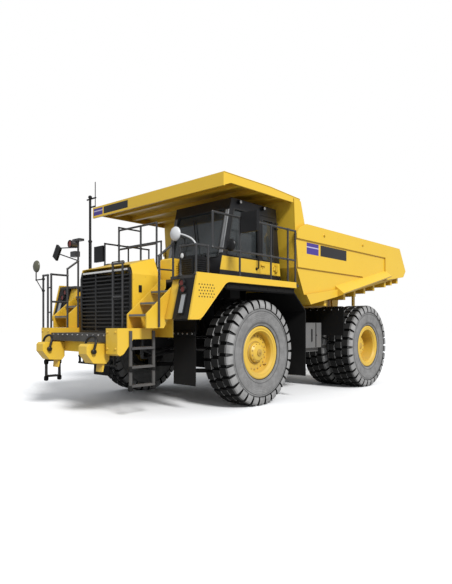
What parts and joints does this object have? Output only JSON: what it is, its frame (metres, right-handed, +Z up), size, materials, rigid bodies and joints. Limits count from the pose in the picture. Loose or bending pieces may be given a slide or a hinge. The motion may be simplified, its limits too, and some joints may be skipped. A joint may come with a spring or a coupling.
{
  "type": "rigid mining dump truck",
  "caption": "Rigid mining dump truck with twin rear tyres, left-hand cab, walkway deck, railings and a canopied rear-tipping body lifted by telescopic hoists.",
  "frame": {"origin": "on the ground under the middle of the truck's outline", "axes": "+Z up, -Y the way the truck drives, +X its left side"},
  "size_m": [5.2, 9.96, 4.56],
  "materials": {
    "yellow_paint": "gloss paint",
    "black_paint": "satin paint",
    "grey_paint": "satin paint",
    "bare_steel": "worn steel",
    "tyre": "dusty tread",
    "window_glass": "tinted",
    "lamp_lens": "clear lens",
    "trim": "matt",
    "mirror_shell": "matt",
    "flap": "matt"
  },
  "bodies": {
    "chassis": {"bumper": "yellow_paint", "tow_hooks": "yellow_paint", "stairs": "yellow_paint", "hood": "yellow_paint", "cowl_box": "yellow_paint", "fender_left": "yellow_paint", "fender_right": "yellow_paint", "cab_body": "yellow_paint", "cab_roof": "yellow_paint", "frame": "black_paint", "bumper_platform": "black_paint", "deck": "black_paint", "grille": "black_paint", "radiator": "black_paint", "lamp_panels": "black_paint", "handrails_left": "black_paint", "handrails_right": "black_paint", "handrails_front": "black_paint", "mast": "black_paint", "air_cleaner": "black_paint", "front_suspension": "black_paint", "rear_axle": "black_paint", "rear_suspension": "black_paint", "front_ladders": "grey_paint", "engine": "grey_paint", "driveline": "grey_paint", "fuel_tank": "grey_paint", "hydraulic_tank": "grey_paint", "cab_glass": "window_glass", "headlamps": "lamp_lens", "seat": "trim", "dash": "trim", "mirrors_left": "mirror_shell", "mirrors_right": "mirror_shell", "mudguards": "flap"},
    "door": {"door": "yellow_paint", "door_glass": "window_glass"},
    "knuckle_left": {"knuckle_left": "black_paint"},
    "knuckle_right": {"knuckle_right": "black_paint"},
    "tie_rod": {"tie_rod": "bare_steel"},
    "wheel_front_left": {"tyre_front_left": "tyre", "rim_front_left": "yellow_paint"},
    "wheel_front_right": {"tyre_front_right": "tyre", "rim_front_right": "yellow_paint"},
    "wheels_rear_left": {"tyres_rear_left": "tyre", "rims_rear_left": "yellow_paint"},
    "wheels_rear_right": {"tyres_rear_right": "tyre", "rims_rear_right": "yellow_paint"},
    "dump_body": {"body_floor": "yellow_paint", "body_front": "yellow_paint", "body_side_left": "yellow_paint", "body_side_right": "yellow_paint", "body_canopy": "yellow_paint", "body_ribs": "yellow_paint", "body_beams": "yellow_paint"},
    "hoist_barrels": {"hoist_barrels": "black_paint"},
    "hoist_stages": {"hoist_stages": "bare_steel"},
    "hoist_rods": {"hoist_rods": "bare_steel"}
  },
  "joints": [
    {"name": "dump", "type": "hinge", "parent": "chassis", "child": "dump_body", "pos_m": [0, 3.47, 1.95], "axis": [-1, 0, 0], "range_deg": [0, 48]},
    {"name": "hoist_swing", "type": "hinge", "parent": "chassis", "child": "hoist_barrels", "pos_m": [0, 1.51278, 0.72555], "axis": [-1, 0, 0], "range_deg": [0, 24.01]},
    {"name": "hoist_stage_slide", "type": "slide", "parent": "hoist_barrels", "child": "hoist_stages", "axis": [0, -0.234, 0.9722], "range_m": [0, 0.8452]},
    {"name": "hoist_rod_slide", "type": "slide", "parent": "hoist_stages", "child": "hoist_rods", "axis": [0, -0.234, 0.9722], "range_m": [0, 0.8452]},
    {"name": "steer_left", "type": "hinge", "parent": "chassis", "child": "knuckle_left", "pos_m": [1.23, -1.78, 1.05], "axis": [0, 0, 1], "range_deg": [-39, 39]},
    {"name": "steer_right", "type": "hinge", "parent": "chassis", "child": "knuckle_right", "pos_m": [-1.23, -1.78, 1.05], "axis": [0, 0, 1], "range_deg": [-39.01, 39.01]},
    {"name": "tie_rod_swing", "type": "hinge", "parent": "knuckle_left", "child": "tie_rod", "pos_m": [1.23, -1.36, 1.025], "axis": [0, 0, 1], "range_deg": [-39.01, 39.01]},
    {"name": "roll_front_left", "type": "hinge", "parent": "knuckle_left", "child": "wheel_front_left", "pos_m": [1.7575, -1.78, 1.05], "axis": [1, 0, 0], "continuous": true},
    {"name": "roll_front_right", "type": "hinge", "parent": "knuckle_right", "child": "wheel_front_right", "pos_m": [-1.7575, -1.78, 1.05], "axis": [1, 0, 0], "continuous": true},
    {"name": "roll_rear_left", "type": "hinge", "parent": "chassis", "child": "wheels_rear_left", "pos_m": [1.54, 2.52, 1.05], "axis": [1, 0, 0], "continuous": true},
    {"name": "roll_rear_right", "type": "hinge", "parent": "chassis", "child": "wheels_rear_right", "pos_m": [-1.54, 2.52, 1.05], "axis": [1, 0, 0], "continuous": true},
    {"name": "door_swing", "type": "hinge", "parent": "chassis", "child": "door", "pos_m": [1.774, -0.917, 3.2], "axis": [0, 0, 1], "range_deg": [0, 45]}
  ],
  "couplings": [
    {"joint": "hoist_swing", "follows": "dump", "ratio": 0.5},
    {"joint": "hoist_stage_slide", "follows": "dump", "m_per_rad": 1.0082},
    {"joint": "hoist_rod_slide", "follows": "dump", "m_per_rad": 1.0082},
    {"joint": "steer_right", "follows": "steer_left", "ratio": 1},
    {"joint": "tie_rod_swing", "follows": "steer_left", "ratio": -1}
  ]
}
